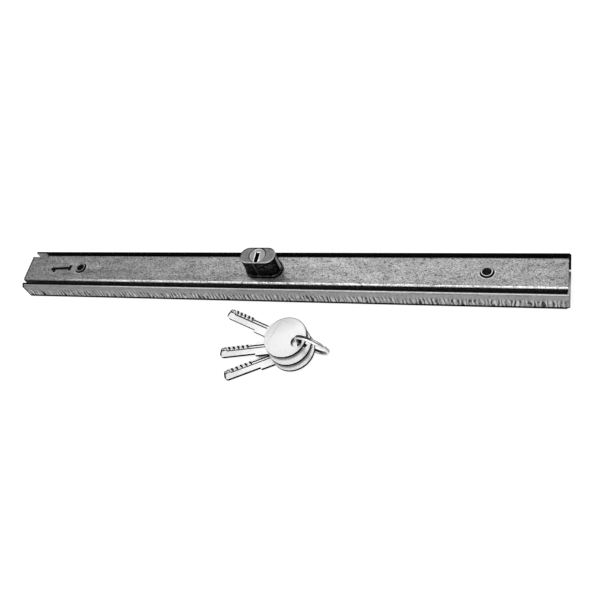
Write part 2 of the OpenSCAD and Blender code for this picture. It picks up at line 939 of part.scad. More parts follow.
// Split ring: two coils side by side, each with the slit where its wire ends
module key_ring() {
    color("whitesmoke")
        translate([ring_x, ring_y, ring_z])
            rotate([90 + ring_lean_angle, 0, ring_heading])
                difference() {
                    rotate_extrude($fn = 96)
                        translate([ring_r, 0]) {
                            translate([0, coil_offset])
                                circle(r = wire_r, $fn = 24);
                            translate([0, -coil_offset])
                                circle(r = wire_r, $fn = 24);
                        }
                    for (s = [-1, 1])
                        rotate(ring_slits[s > 0 ? 0 : 1])
                            translate([ring_r - 2 * wire_r, 0, s > 0 ? 0 : -2 * wire_r])
                                cube([4 * wire_r, ring_slit_w, 2 * wire_r]);
                }
}

housing_channel();
cover_strip();
fixing_sleeve_left();
fixing_sleeve_right();
bolt();
bolt_guide_front();
bolt_guide_rear();
cylinder_body();
cylinder_collar();
cylinder_strap();
strap_screws();
chamber_strip_right();
chamber_strip_left();
driver_pins_right();
driver_pins_left();
pin_springs_right();
pin_springs_left();
plug();
plug_circlip();
key_pins_right();
key_pins_left();
pinion();
pinion_pivot();
key_ring();
key_1();
key_2();
key_3();
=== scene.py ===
import bpy
import json
import math
from mathutils import Matrix, Vector


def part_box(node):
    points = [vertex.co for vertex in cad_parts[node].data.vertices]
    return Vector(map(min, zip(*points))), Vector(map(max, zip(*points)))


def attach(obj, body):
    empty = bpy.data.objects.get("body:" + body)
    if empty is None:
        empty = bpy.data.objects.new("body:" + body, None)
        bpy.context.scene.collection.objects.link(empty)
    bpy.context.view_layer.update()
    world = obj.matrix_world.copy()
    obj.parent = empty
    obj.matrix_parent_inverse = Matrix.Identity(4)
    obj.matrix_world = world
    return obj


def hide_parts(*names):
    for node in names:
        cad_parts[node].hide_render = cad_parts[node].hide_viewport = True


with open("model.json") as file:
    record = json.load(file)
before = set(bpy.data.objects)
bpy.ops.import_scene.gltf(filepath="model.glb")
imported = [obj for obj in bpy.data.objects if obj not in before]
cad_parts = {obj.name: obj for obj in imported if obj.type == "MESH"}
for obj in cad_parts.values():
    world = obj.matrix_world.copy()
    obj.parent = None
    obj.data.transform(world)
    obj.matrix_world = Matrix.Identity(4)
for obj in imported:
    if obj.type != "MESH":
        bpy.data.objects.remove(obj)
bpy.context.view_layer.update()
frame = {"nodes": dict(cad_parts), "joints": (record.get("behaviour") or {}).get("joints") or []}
nodes = frame["nodes"]
mm = 0.001
print("frame loaded:", len(nodes), "nodes")

# Places that the looks are worked out from
stripLow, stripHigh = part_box("cover_strip")
channelLow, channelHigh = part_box("housing_channel")
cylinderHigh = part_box("cylinder_body")[1]
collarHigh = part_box("cylinder_collar")[1]
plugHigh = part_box("plug")[1]
sleeveLow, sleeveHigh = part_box("fixing_sleeve_left")

# Camera

cameraSettings = {
    "place": (0.229446, -0.319482, 0.490745),
    "aim": (-0.33223, 0.49860, -0.80064),
    "roll": -26.72,
    "lens": 46.82,
    "sensor": 36,
    "shift": -0.0002,
    "clip": (0.01, 20),
}


def addCamera():
    settings = cameraSettings
    data = bpy.data.cameras.new("camera")
    data.lens = settings["lens"]
    data.sensor_width = settings["sensor"]
    data.shift_y = settings["shift"]
    data.clip_start, data.clip_end = settings["clip"]
    camera = bpy.data.objects.new("camera", data)
    bpy.context.scene.collection.objects.link(camera)
    level = Vector(settings["aim"]).to_track_quat("-Z", "Y").to_matrix()
    roll = Matrix.Rotation(math.radians(settings["roll"]), 3, "Z")
    camera.rotation_euler = (level @ roll).to_euler()
    camera.location = settings["place"]
    bpy.context.scene.camera = camera


addCamera()
print("camera placed")

# Selecting and shaping

mergeGap = 0.001 * mm
flatAngle = 0.5


def makeActive(piece):
    bpy.ops.object.select_all(action="DESELECT")
    piece.select_set(True)
    bpy.context.view_layer.objects.active = piece


def applyModifier(piece, kind, **settings):
    makeActive(piece)
    modifier = piece.modifiers.new(kind.title(), kind)
    for name, value in settings.items():
        setattr(modifier, name, value)
    bpy.ops.object.modifier_apply(modifier=modifier.name)


def smoothPiece(piece, angle=40):
    makeActive(piece)
    bpy.ops.object.shade_smooth_by_angle(angle=math.radians(angle))


def applyPlace(piece):
    makeActive(piece)
    bpy.ops.object.transform_apply(location=True, rotation=True, scale=True)


# A CAD node's triangles as one merged solid with flat faces, ready for bevels and cuts
def copyOfNode(nodeName, pieceName):
    mesh = nodes[nodeName].data.copy()
    mesh.name = pieceName
    mesh.materials.clear()
    piece = bpy.data.objects.new(pieceName, mesh)
    bpy.context.scene.collection.objects.link(piece)
    makeActive(piece)
    bpy.ops.mesh.customdata_custom_splitnormals_clear()
    bpy.ops.object.mode_set(mode="EDIT")
    bpy.ops.mesh.select_all(action="SELECT")
    bpy.ops.mesh.remove_doubles(threshold=mergeGap)
    bpy.ops.mesh.dissolve_limited(angle_limit=math.radians(flatAngle))
    bpy.ops.object.mode_set(mode="OBJECT")
    return piece


def softenEdges(piece, width, segments=2, angle=35):
    applyModifier(piece, "BEVEL", width=width, segments=segments, limit_method="ANGLE",
                  angle_limit=math.radians(angle), use_clamp_overlap=True, miter_outer="MITER_ARC")
    smoothPiece(piece)
    applyModifier(piece, "WEIGHTED_NORMAL", keep_sharp=True)


# Materials

# Where most values of a noise lie
grainRange = (0.3, 0.7)
# How far a place has to turn to the camera to count as in front
frontRange = (-0.35, 0.15)


def inMetres(*lengths):
    return [length * mm for length in lengths]


def newMaterial(name):
    material = bpy.data.materials.new(name)
    material.use_nodes = True
    tree = material.node_tree
    tree.nodes.clear()
    out = tree.nodes.new("ShaderNodeOutputMaterial")
    shader = tree.nodes.new("ShaderNodeBsdfPrincipled")
    tree.links.new(shader.outputs[0], out.inputs[0])
    return material, tree, shader


def objectPoints(tree, turn=(0, 0, 0), stretch=(1, 1, 1)):
    coordinates = tree.nodes.new("ShaderNodeTexCoord")
    mapping = tree.nodes.new("ShaderNodeMapping")
    mapping.inputs["Rotation"].default_value = [math.radians(a) for a in turn]
    mapping.inputs["Scale"].default_value = stretch
    tree.links.new(coordinates.outputs["Object"], mapping.inputs["Vector"])
    return mapping.outputs["Vector"]


def noise(tree, points, scale, detail=2.0, roughness=0.5):
    texture = tree.nodes.new("ShaderNodeTexNoise")
    texture.inputs["Scale"].default_value = scale
    texture.inputs["Detail"].default_value = detail
    texture.inputs["Roughness"].default_value = roughness
    tree.links.new(points, texture.inputs["Vector"])
    return texture.outputs["Fac"]


def calculate(tree, kind, a, b=None, c=None):
    step = tree.nodes.new("ShaderNodeMath")
    step.operation = kind
    for socket, value in zip(step.inputs, (a, b, c)):
        if value is None:
            continue
        if isinstance(value, (int, float)):
            socket.default_value = value
        else:
            tree.links.new(value, socket)
    return step.outputs[0]


def ramp(tree, value, low, high, fromLow=0.0, fromHigh=1.0, smooth=True):
    step = tree.nodes.new("ShaderNodeMapRange")
    step.interpolation_type = "SMOOTHSTEP" if smooth else "LINEAR"
    step.inputs["From Min"].default_value = fromLow
    step.inputs["From Max"].default_value = fromHigh
    step.inputs["To Min"].default_value = low
    step.inputs["To Max"].default_value = high
    tree.links.new(value, step.inputs["Value"])
    return step.outputs["Result"]


# The piece's own places along its three axes, in metres
def places(tree):
    split = tree.nodes.new("ShaderNodeSeparateXYZ")
    tree.links.new(objectPoints(tree), split.inputs[0])
    return split.outputs


def product(tree, *values):
    result = values[0]
    for value in values[1:]:
        result = calculate(tree, "MULTIPLY", result, value)
    return result


# 1 where the mask is 0, and 0 where it is 1
def outside(tree, mask):
    return calculate(tree, "SUBTRACT", 1.0, mask)


# 1 from a place upwards, fading to 0 below it
def above(tree, value, place, soft):
    return ramp(tree, value, 0, 1, place - soft, place)


# 1 up to a place, fading to 0 beyond it
def below(tree, value, place, soft):
    return ramp(tree, value, 1, 0, place, place + soft)


# 1 between two places and 0 beyond them
def band(tree, value, low, high, soft=0.1 * mm):
    return product(tree, above(tree, value, low, soft), below(tree, value, high, soft))


# The base tone, multiplied by a factor where the mask is 1
def scaled(tree, base, mask, factor):
    if isinstance(factor, (int, float)):
        change = factor - 1
    else:
        change = calculate(tree, "SUBTRACT", factor, 1.0)
    return product(tree, base, calculate(tree, "MULTIPLY_ADD", mask, change, 1.0))


# A tone that varies by its spread with the metal's grain
def grained(tree, grain, tone, spread, low=grainRange[0], high=grainRange[1]):
    return product(tree, ramp(tree, grain, 1 - spread, 1 + spread, low, high), tone)


def distance(tree, side, depth):
    squares = calculate(tree, "MULTIPLY_ADD", side, side, product(tree, depth, depth))
    return calculate(tree, "SQRT", squares)


# Distance from an upright axis
def distanceFrom(tree, x, y, centre):
    side = calculate(tree, "SUBTRACT", x, centre[0])
    return distance(tree, side, calculate(tree, "SUBTRACT", y, centre[1]))


# How far a place lies on the camera's side of an upright axis, from -1 to 1
def frontSide(tree, x, y, centre, away):
    toward = (Vector(cameraSettings["place"]).to_2d() - Vector(centre).to_2d()).normalized()
    side = product(tree, calculate(tree, "SUBTRACT", x, centre[0]), toward.x)
    side = calculate(tree, "MULTIPLY_ADD", calculate(tree, "SUBTRACT", y, centre[1]), toward.y, side)
    return calculate(tree, "DIVIDE", side, away)


def greyTone(tree, value):
    colour = tree.nodes.new("ShaderNodeCombineColor")
    for socket in colour.inputs[:3]:
        tree.links.new(value, socket)
    return colour.outputs[0]


# No bright sheen at grazing angles
def dullEdges(shader, specular):
    shader.inputs["Specular IOR Level"].default_value = specular
    shader.inputs["Specular Tint"].default_value = (0, 0, 0, 1)


# Colour, and roughness and relief that follow the grain
def finishMetal(tree, shader, colour, grain, settings, relief, strength=0.3, reach=(0.0, 1.0)):
    tree.links.new(colour, shader.inputs["Base Color"])
    tree.links.new(ramp(tree, grain, *settings["roughness"], *reach), shader.inputs["Roughness"])
    shader.inputs["Metallic"].default_value = settings["metallic"]
    bump = tree.nodes.new("ShaderNodeBump")
    bump.inputs["Distance"].default_value = relief
    bump.inputs["Strength"].default_value = strength
    tree.links.new(grain, bump.inputs["Height"])
    tree.links.new(bump.outputs[0], shader.inputs["Normal"])


# Lengths in the finishes are in mm. A line is its width or place, its softness and its factor

zincGrain = {
    "mottleRange": (0.24, 0.76),
    "fleckStretch": (0.35, 1, 1),
    "fleckRange": (0.36, 0.64),
    "speckStretch": (0.55, 1, 1),
    "speckRange": (0.60, 0.72),
    "relief": 0.04 * mm,
}


# Mottled zinc: fine patches and short dark specks, as a factor for the tone
def zincPattern(tree, settings):
    fine = noise(tree, objectPoints(tree), settings["mottleScale"], detail=2.5, roughness=0.6)
    spread, depth = settings["mottle"], settings["fleckDepth"]
    factor = ramp(tree, fine, 1 - spread, 1 + spread, *zincGrain["mottleRange"], smooth=False)
    for turn, scale in settings["flecks"]:
        points = objectPoints(tree, turn=(0, 0, turn), stretch=zincGrain["fleckStretch"])
        fleck = noise(tree, points, scale, detail=1)
        factor = product(tree, factor, ramp(tree, fleck, 1 - depth, 1 + depth, *zincGrain["fleckRange"]))
    for turn, scale in settings["specks"]:
        points = objectPoints(tree, turn=(0, 0, turn), stretch=zincGrain["speckStretch"])
        speck = noise(tree, points, scale, detail=1.5)
        dark = ramp(tree, speck, 0, settings["speckDepth"], *zincGrain["speckRange"])
        factor = product(tree, factor, outside(tree, dark))
    return factor, fine


def zincSheet(name, settings, tone):
    material, tree, shader = newMaterial(name)
    pattern, fine = zincPattern(tree, settings)
    dullEdges(shader, settings["specular"])
    colour = greyTone(tree, product(tree, pattern, tone(tree)))
    finishMetal(tree, shader, colour, fine, settings, zincGrain["relief"])
    return material


stripFinish = {
    "tone": 0.203,
    "mottleScale": 950,
    "mottle": 0.80,
    "specks": ((38, 560), (-41, 640)),
    "speckDepth": 0.58,
    "flecks": ((32, 210), (-36, 170)),
    "fleckDepth": 0.08,
    "roughness": (0.30, 0.46),
    "metallic": 0.75,
    "specular": 0.1,
    "leftEndLight": (-235, -60, 1.05),
    "rightEndShade": (50, 190, 0.87),
    "topDepths": (1.6, 0.9),
    "fold": (1.1, 0.5, 2.6),
    "foldHighlightReach": (-205, -120),
    "rearFoldHighlight": (0.8, 0.3, 1.25),
    "endLine": (1.3, 0.3, 0.28),
    "grooveShade": (0.9, 0.03),
    "grooveShadeHeights": (18.6, 19.6),
    "footRadius": 4.6,
    "footShadow": (0.7, 0.2, 0.03),
    "footHighlight": (1.7, 1.7),
}


# The cover: painted light falloff that makes it darker towards the right, painted highlights
# on the folds, a dark line at the open end, a painted shadow and a painted highlight line in
# front of each sleeve, and sides with painted shade that turns black upwards
def stripTone(tree):
    settings = stripFinish
    x, y, z = places(tree)
    # Painted light falloff: a little brighter towards the left end, painted shade towards the right
    start, end, factor = settings["leftEndLight"]
    tone = ramp(tree, x, settings["tone"] * factor, settings["tone"], *inMetres(start, end))
    start, end, factor = settings["rightEndShade"]
    tone = scaled(tree, tone, ramp(tree, x, 0, 1, *inMetres(start, end)), factor)
    top = ramp(tree, z, 0, 1, *(stripHigh.z - depth * mm for depth in settings["topDepths"]))
    # Painted highlight along the front fold, fading out towards the left
    width, soft, factor = settings["fold"]
    fold = below(tree, y, stripLow.y + width * mm, soft * mm)
    fold = product(tree, fold, top, ramp(tree, x, 0, 1, *inMetres(*settings["foldHighlightReach"])))
    tone = scaled(tree, tone, fold, factor)
    # Painted highlight along the rear fold
    width, soft, factor = settings["rearFoldHighlight"]
    rear = above(tree, y, stripHigh.y - width * mm, soft * mm)
    tone = scaled(tree, tone, product(tree, rear, top), factor)
    width, soft, factor = settings["endLine"]
    tone = scaled(tree, tone, below(tree, x, stripLow.x + width * mm, soft * mm), factor)
    # Painted shadow round the front of each sleeve's foot, and a painted highlight line just outside it
    foot = settings["footRadius"]
    width, soft, factor = settings["footShadow"]
    lightWidth, lightFactor = settings["footHighlight"]
    for low, high in (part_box("fixing_sleeve_left"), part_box("fixing_sleeve_right")):
        centre = (low + high) / 2
        away = distanceFrom(tree, x, y, centre)
        front = ramp(tree, frontSide(tree, x, y, centre, away), 0, 1, *frontRange)
        dark = below(tree, away, (foot + width) * mm, soft * mm)
        tone = scaled(tree, tone, product(tree, front, dark), factor)
        light = band(tree, away, (foot + width + soft) * mm, (foot + lightWidth) * mm)
        tone = scaled(tree, tone, product(tree, front, light), lightFactor)
    # Painted shade: the sides under the top turn black upwards, where the groove is
    groove = ramp(tree, z, *settings["grooveShade"], *inMetres(*settings["grooveShadeHeights"]))
    return scaled(tree, tone, outside(tree, top), groove)


channelFinish = {
    "tone": 0.345,
    "mottleScale": 520,
    "mottle": 0.30,
    "specks": ((30, 480), (-52, 560)),
    "speckDepth": 0.14,
    "flecks": ((20, 240),),
    "fleckDepth": 0.05,
    "roughness": (0.34, 0.5),
    "metallic": 0.75,
    "specular": 0.1,
    "skinDepths": (0.35, 0.25),
    "edge": (0.55, 1.9, 2.2),
    "edgeStart": 0.1,
    "edgeReach": (-200, -110),
    "underEdge": (2.6, 3.9, 0.3, 0.78),
    "underEdgeBreak": (60, 0.42, 0.56),
    "foot": (3.5, 0.7, 0.06),
    "endCut": (4.8, 3.2),
    "endLine": (1.4, 0.4, 0.18),
    "cutEdgeShade": (0.2, 0.1, 0.005),
    "tabs": (0.2, 0.2),
    "tabEdge": (-12, 2.0, 0.2),
    "tabEdgeTone": (0.5, 0.03),
    "tabGapLight": (1.5, 2.75, 3.3),
    "lip": (0.4, 0.15, 0.01),
    "inside": (1.45, 0.1, 0.06),
    "openEnd": (11.5, 0.5),
    "streakPeriod": 3.1,
    "streakWander": (300, 12),
    "streakStretch": (1, 1, 0.3),
    "streakBreak": (200, 0.35, 0.38, 0.55),
    "streakHeights": (9, 14),
    "darkStreak": (0.1, 0.8, 0.20),
    "lightStreak": (-0.8, -0.1, 1.85),
}


# Dark and light streaks from folding, low on the channel's sides
def streakTone(tree, x, z, outer):
    settings = channelFinish
    scale, amount = settings["streakWander"]
    wander = noise(tree, objectPoints(tree, stretch=settings["streakStretch"]), scale, detail=1.5)
    perMetre = 2 * math.pi / (settings["streakPeriod"] * mm)
    turns = calculate(tree, "MULTIPLY_ADD", x, perMetre, product(tree, wander, amount))
    wave = calculate(tree, "SINE", turns)
    scale, least, start, end = settings["streakBreak"]
    breaks = ramp(tree, noise(tree, objectPoints(tree), scale, detail=1), least, 1, start, end)
    low = ramp(tree, z, 1, 0, *inMetres(*settings["streakHeights"]))
    low = product(tree, low, outer, breaks)
    start, end, factor = settings["darkStreak"]
    dark = product(tree, ramp(tree, wave, 0, 1, start, end), low)
    tone = scaled(tree, settings["tone"], dark, factor)
    start, end, factor = settings["lightStreak"]
    light = product(tree, ramp(tree, wave, 1, 0, start, end), low)
    return scaled(tree, tone, light, factor)


# The channel's sides: a painted highlight line under the edge, a broken dark one below it,
# painted shade along the foot and a dark line along the slanting end
def sideTone(tree, x, z, outer):
    settings = channelFinish
    top = channelHigh.z
    tone = streakTone(tree, x, z, outer)
    # Painted highlight just under the top edge, fading out towards the left
    high, depth, factor = settings["edge"]
    edge = product(tree, band(tree, z, top - depth * mm, top - high * mm), outer)
    reach = ramp(tree, x, settings["edgeStart"], 1, *inMetres(*settings["edgeReach"]))
    tone = scaled(tree, tone, product(tree, edge, reach), factor)
    scale, start, end = settings["underEdgeBreak"]
    broken = noise(tree, objectPoints(tree, stretch=(1, 0, 0)), scale)
    broken = ramp(tree, broken, 0, 1, start, end)
    high, depth, soft, factor = settings["underEdge"]
    under = band(tree, z, top - depth * mm, top - high * mm, soft * mm)
    tone = scaled(tree, tone, product(tree, under, outer, broken), factor)
    # Painted shade along the foot
    height, soft, factor = settings["foot"]
    tone = scaled(tree, tone, below(tree, z, height * mm, soft * mm), factor)
    depth, length = settings["endCut"]
    slant = calculate(tree, "MAXIMUM", calculate(tree, "SUBTRACT", z, top - depth * mm), 0.0)
    fromEnd = calculate(tree, "SUBTRACT", x, channelLow.x)
    fromEnd = calculate(tree, "MULTIPLY_ADD", slant, -length / depth, fromEnd)
    width, soft, factor = settings["endLine"]
    line = product(tree, outer, below(tree, fromEnd, width * mm, soft * mm))
    return scaled(tree, tone, line, factor)


# The channel: painted shade that makes the cut edges, the outer lip and the inside black, a lit
# edge on the front tab and painted light in the tabs' gap
def channelTone(tree):
    settings = channelFinish
    x, y, z = places(tree)
    top, wall = channelHigh.z, channelHigh.y
    across = calculate(tree, "ABSOLUTE", y)
    outer = ramp(tree, across, 0, 1, *(wall - depth * mm for depth in settings["skinDepths"]))
    tone = sideTone(tree, x, z, outer)
    depth, soft = settings["tabs"]
    atTabs = above(tree, x, stripHigh.x - depth * mm, soft * mm)
    start, end, soft = settings["tabEdge"]
    frontTab = ramp(tree, y, *settings["tabEdgeTone"], *inMetres(start, end), smooth=False)
    frontTab = product(tree, frontTab, below(tree, y, end * mm, soft * mm), atTabs)
    # Painted shade: the cut edges black, except the lit edge on the front tab
    depth, soft, factor = settings["cutEdgeShade"]
    cut = product(tree, above(tree, z, top - depth * mm, soft * mm), outside(tree, outer))
    tone = scaled(tree, tone, cut, calculate(tree, "MAXIMUM", frontTab, factor))
    # Painted shade: the outer lip at the top black
    depth, soft, factor = settings["lip"]
    lip = product(tree, outer, above(tree, z, top - depth * mm, soft * mm))
    tone = scaled(tree, tone, lip, factor)
    # Painted shade inside the channel, stopping short of the open end
    end, endSoft = settings["openEnd"]
    depth, soft, factor = settings["inside"]
    inside = product(tree, below(tree, across, wall - depth * mm, soft * mm),
                     above(tree, x, stripLow.x + end * mm, endSoft * mm), outside(tree, atTabs))
    tone = scaled(tree, tone, inside, factor)
    # Painted light in the gap between the end tabs
    low, high, factor = settings["tabGapLight"]
    gap = product(tree, band(tree, y, *inMetres(low, high)), atTabs)
    light = product(tree, gap, settings["tone"] * factor)
    return calculate(tree, "MAXIMUM", tone, light)


plainMetals = {
    "zincPlate": {"tone": 0.42, "spread": 0.1, "metallic": 0.85,
                  "roughness": (0.26, 0.40), "grain": 900},
    "turnedBrass": {"tone": (0.62, 0.47, 0.21), "spread": 0.1, "metallic": 0.9,
                    "roughness": (0.24, 0.38), "grain": 1200},
    "springWire": {"tone": 0.24, "spread": 0.1, "metallic": 0.9,
                   "roughness": (0.29, 0.43), "grain": 1500},
    # Painted shade: the stamped arrow's recess black
    "stampedRecessShade": {"tone": 0.004, "spread": 0.2, "metallic": 1.0,
                     "roughness": (0.64, 0.78), "grain": 900},
}
plainRange = (0.25, 0.75)
plainRelief = 0.02 * mm


def plainMetal(name):
    settings = plainMetals[name]
    tone, spread = settings["tone"], settings["spread"]
    material, tree, shader = newMaterial(name)
    grain = noise(tree, objectPoints(tree), settings["grain"], detail=3)
    if isinstance(tone, tuple):
        step = tree.nodes.new("ShaderNodeVectorMath")
        step.operation = "SCALE"
        step.inputs[0].default_value = tone
        tree.links.new(ramp(tree, grain, 1 - spread, 1 + spread, *plainRange), step.inputs["Scale"])
        colour = step.outputs[0]
    else:
        colour = greyTone(tree, grained(tree, grain, tone, spread, *plainRange))
    finishMetal(tree, shader, colour, grain, settings, plainRelief, reach=grainRange)
    return material


cylinderFinish = {
    "face": (0.118, 0.30),
    "toFront": (0.554, -0.832),
    "frontRimHighlight": (0.75, 0.2, 2.6),
    "frontReach": (-0.1, 0.3),
    "rearRimShade": (1.1, 0.2, 0.12),
    "rearReach": (-0.5, -0.1),
    "gap": (0.1, 0.4, 0.10),
    "rightGap": ((0, 2.5), (-1, 2)),
    "leftGap": ((-4, -2), (0, 2)),
    "side": (0.003, 0.072),
    "sideRange": (0.44, 0.68),
    "sideFootShade": (0.15, 4),
    "underRimShade": (1.7, 0.3, 0.05),
    "stripEdgeShade": (1.75, 3.3, 0.2, 0.08),
    "stripReach": (10, 11),
    "seam": (-2.3, 0.30, 0.05),
    "seamTone": 0.11,
    "seamReach": (-5, -4),
    "seamFoot": 0.5,
    "top": (0.35, 0.1),
}


# How far a point's outward side faces the front, from -1 to 1, and how far out it lies
def ovalPlace(tree, x, y):
    half = cylinderHigh.x - cylinderHigh.y
    nearest = calculate(tree, "MAXIMUM", calculate(tree, "MINIMUM", x, half), -half)
    end = calculate(tree, "SUBTRACT", x, nearest)
    right, front = cylinderFinish["toFront"]
    facing = calculate(tree, "MULTIPLY_ADD", end, right, product(tree, y, front))
    return product(tree, facing, 1 / cylinderHigh.y), distance(tree, end, y)


# The cylinder's turned face: a painted highlight on the front rim, painted shade on the rear
# rim and painted shade in two parts of the gap round the plug
def faceTone(tree, grain, x, y):
    settings = cylinderFinish
    facing, out = ovalPlace(tree, x, y)
    face = grained(tree, grain, *settings["face"])
    # Painted highlight on the front rim
    width, soft, factor = settings["frontRimHighlight"]
    rim = above(tree, out, cylinderHigh.y - width * mm, soft * mm)
    rim = product(tree, rim, ramp(tree, facing, 0, 1, *settings["frontReach"]))
    face = scaled(tree, face, rim, factor)
    # Painted shade on the rear rim
    width, soft, factor = settings["rearRimShade"]
    rim = above(tree, out, cylinderHigh.y - width * mm, soft * mm)
    rim = product(tree, rim, ramp(tree, facing, 1, 0, *settings["rearReach"]))
    face = scaled(tree, face, rim, factor)
    parts = []
    for (alongX, alongY), ends in ((settings["rightGap"], (0, 1)), (settings["leftGap"], (1, 0))):
        parts.append(product(tree, ramp(tree, x, *ends, *inMetres(*alongX)),
                             ramp(tree, y, *ends, *inMetres(*alongY))))
    # Painted shade in two parts of the gap round the plug
    width, soft, factor = settings["gap"]
    gap = below(tree, distance(tree, x, y), plugHigh.y + width * mm, soft * mm)
    return scaled(tree, face, product(tree, gap, calculate(tree, "MAXIMUM", *parts)), factor)


# The cylinder: mottled sides with painted dark reflection and shade, darker at the foot, under
# the rim and beside the chamber strips, with a seam, under its lighter face
def cylinderTone(tree, grain):
    settings = cylinderFinish
    x, y, z = places(tree)
    high = cylinderHigh.z
    # Painted dark reflection and shade: the sides far darker than the face, more so towards the foot
    side = ramp(tree, grain, *settings["side"], *settings["sideRange"])
    low, depth = settings["sideFootShade"]
    side = product(tree, side, ramp(tree, z, low, 1, collarHigh.z, high - depth * mm))
    # Painted shade: a black line under the rim
    depth, soft, factor = settings["underRimShade"]
    side = scaled(tree, side, above(tree, z, high - depth * mm, soft * mm), factor)
    # Painted shade beside the chamber strips
    inner, outer, soft, factor = settings["stripEdgeShade"]
    beside = band(tree, calculate(tree, "ABSOLUTE", y), *inMetres(inner, outer, soft))
    beside = product(tree, beside, ramp(tree, x, 0, 1, *inMetres(*settings["stripReach"])))
    side = scaled(tree, side, beside, factor)
    middle, half, soft = settings["seam"]
    seam = band(tree, x, *inMetres(middle - half, middle + half, soft))
    seam = product(tree, seam, ramp(tree, y, settings["seamTone"], 0, *inMetres(*settings["seamReach"])),
                   ramp(tree, z, settings["seamFoot"], 1, collarHigh.z, high))
    side = calculate(tree, "ADD", side, seam)
    depth, soft = settings["top"]
    top = above(tree, z, high - depth * mm, soft * mm)
    return calculate(tree, "MULTIPLY_ADD", faceTone(tree, grain, x, y), top,
                     product(tree, side, outside(tree, top)))


chamberFinish = {
    "tone": (0.50, 0.35, 0.25, 0.75),
    "topLine": (2.3, 0.3, 0.03),
    "rearShadeLine": (1.3, 0.15, 0.05),
}


# The chamber strips: satin, with painted shade under the rim and along the rear edge
def chamberTone(tree, grain):
    y, z = places(tree)[1:3]
    tone = grained(tree, grain, *chamberFinish["tone"])
    # Painted shade under the rim
    depth, soft, factor = chamberFinish["topLine"]
    tone = scaled(tree, tone, above(tree, z, cylinderHigh.z - depth * mm, soft * mm), factor)
    # Painted shade along the rear edge
    place, soft, factor = chamberFinish["rearShadeLine"]
    return scaled(tree, tone, above(tree, y, *inMetres(place, soft)), factor)


collarFinish = {
    "edge": (0.35, 0.02, 0.06),
    "edgeGrain": (0.2, 1, 0.42, 0.6),
    "side": (0.001, 0.010, 0.5, 0.7),
}


# The collar: black with a faint painted highlight along its top edge
def collarTone(tree, grain):
    # Painted highlight: a faint line along the top edge
    depth, high, tone = collarFinish["edge"]
    edge = band(tree, places(tree)[2], collarHigh.z - depth * mm, collarHigh.z - high * mm)
    edge = product(tree, edge, ramp(tree, grain, *collarFinish["edgeGrain"]))
    return calculate(tree, "MULTIPLY_ADD", edge, tone, ramp(tree, grain, *collarFinish["side"]))


plugFinish = {
    "face": (0.17, 0.10),
    "ring": (5.0, 5.7, 0.1, 1.55),
    "turnedRing": (3.9, 4.7, 0.3, 0.82),
    "edge": (0.5, 0.2, 0.30),
    "edgeReach": (-5, -1),
    "keywayX": (-1.3, 1.3),
    "keywayY": (-6.2, 2.7),
    "crisp": 0.05,
    "bevel": 0.45,
    "bevelHighlight": 0.95,
    "bevelTop": (0.03, 0.01),
    "bevelFoot": 0.02,
    "deep": (0.08, 0.05),
    "inside": 0.002,
    "halo": (0.45, 3.2),
    "haloReach": (1, 0.2, -4, 2),
}


# The plug: satin face with turned rings and painted shade on its rear edge, painted highlight
# lines left and right of the keyway, a painted highlight on the bevel round it with painted
# shade on its left, and painted shade that makes the inside black
def plugTone(tree, grain):
    settings = plugFinish
    x, y, z = places(tree)
    away = distance(tree, x, y)
    tone = grained(tree, grain, *settings["face"])
    for ring in ("ring", "turnedRing"):
        inner, outer, soft, factor = settings[ring]
        tone = scaled(tree, tone, band(tree, away, *inMetres(inner, outer, soft)), factor)
    # Painted shade on the rear part of the edge
    width, soft, factor = settings["edge"]
    edge = above(tree, away, plugHigh.y - width * mm, soft * mm)
    edge = product(tree, edge, ramp(tree, y, 0, 1, *inMetres(*settings["edgeReach"])))
    tone = scaled(tree, tone, edge, factor)
    left, right = inMetres(*settings["keywayX"])
    front, rear = inMetres(*settings["keywayY"])
    bevel, crisp = inMetres(settings["bevel"], settings["crisp"])
    alongside = band(tree, y, front - bevel, rear + bevel, crisp)
    # Painted highlight lines beside the keyway
    width, factor = settings["halo"]
    wide = bevel + width * mm
    high, low, start, end = settings["haloReach"]
    rightLine = band(tree, x, right + bevel / 2, right + wide, crisp)
    rightLine = product(tree, rightLine, ramp(tree, y, high, low, *inMetres(start, end)))
    leftLine = band(tree, x, left - wide, left - bevel, crisp)
    halo = product(tree, calculate(tree, "MAXIMUM", rightLine, leftLine), alongside)
    tone = scaled(tree, tone, halo, factor)
    # Painted highlight on the bevel round the keyway
    depth, soft = inMetres(*settings["bevelTop"])
    foot = plugHigh.z - bevel
    slope = band(tree, z, foot - settings["bevelFoot"] * mm, plugHigh.z - depth, soft)
    sloping = product(tree, band(tree, x, left, right + bevel, crisp), alongside, slope)
    tone = calculate(tree, "MULTIPLY_ADD", sloping, settings["bevelHighlight"],
                     product(tree, tone, outside(tree, sloping)))
    # Painted shade: the inside and the left bevel black
    depth, soft = inMetres(*settings["deep"])
    leftBevel = product(tree, band(tree, x, left - bevel, left, crisp), alongside, slope)
    deep = calculate(tree, "MAXIMUM", below(tree, z, foot - depth, soft), leftBevel)
    return calculate(tree, "MULTIPLY_ADD", deep, settings["inside"],
                     product(tree, tone, outside(tree, deep)))


sleeveFinish = {
    "rim": (0.15, 0.20),
    "spread": (0.85, 1.15),
    "side": 0.004,
    "bore": (3.15, 0.1),
    "crescent": (3.9, 0.3, 1.7),
    "wall": (0.35, 0.15),
    "outer": (4.0, 4.15),
    "halves": (-1, 1),
}


